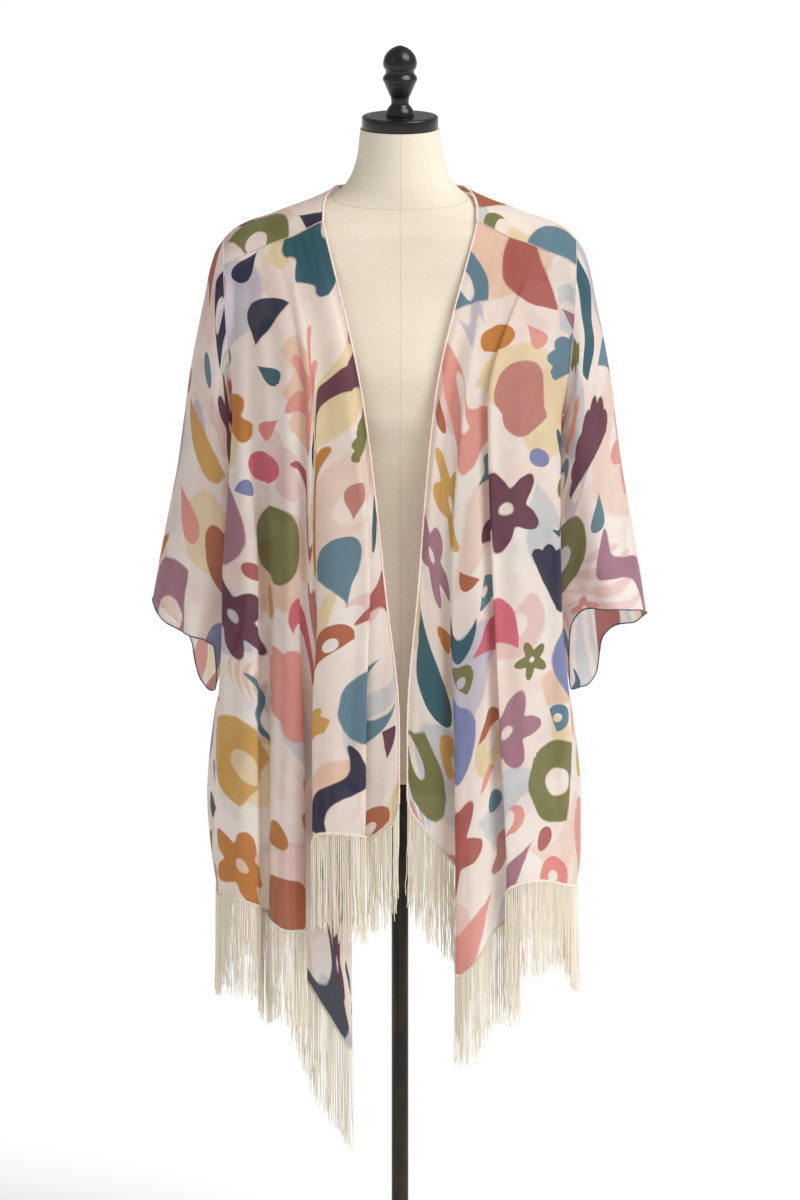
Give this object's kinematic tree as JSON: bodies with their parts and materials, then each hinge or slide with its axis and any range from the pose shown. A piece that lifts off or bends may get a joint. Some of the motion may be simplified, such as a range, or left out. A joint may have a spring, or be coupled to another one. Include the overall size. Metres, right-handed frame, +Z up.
{
  "type": "kimono coat on a dress form",
  "caption": "Open kimono coat in thin printed chiffon with loose sleeves, a handkerchief hem and a long yarn fringe, worn on a limbless linen dress form with a black finial and stand",
  "frame": {"origin": "on the floor under the middle of the pole, at the underside of the round base", "axes": "+Z points up along the pole, the coat's open front faces -Y, and +X is the right of the picture, which is the wearer's left"},
  "size_m": [0.6193, 0.36, 1.5996],
  "materials": {
    "printed_cloth": "matte",
    "fringe_yarn": "matte",
    "form_linen": "matte",
    "black_lacquer": "gloss",
    "stand_metal": "satin"
  },
  "bodies": {
    "root": {"base_disc": "stand_metal", "pole_collar": "stand_metal", "pole": "stand_metal", "form_torso": "form_linen", "neck_cap": "black_lacquer", "finial": "black_lacquer", "yoke": "printed_cloth", "front_left": "printed_cloth", "front_right": "printed_cloth", "back": "printed_cloth", "sleeve_left": "printed_cloth", "sleeve_right": "printed_cloth", "fringe_front_left": "fringe_yarn", "fringe_front_right": "fringe_yarn", "fringe_back": "fringe_yarn"}
  },
  "joints": []
}
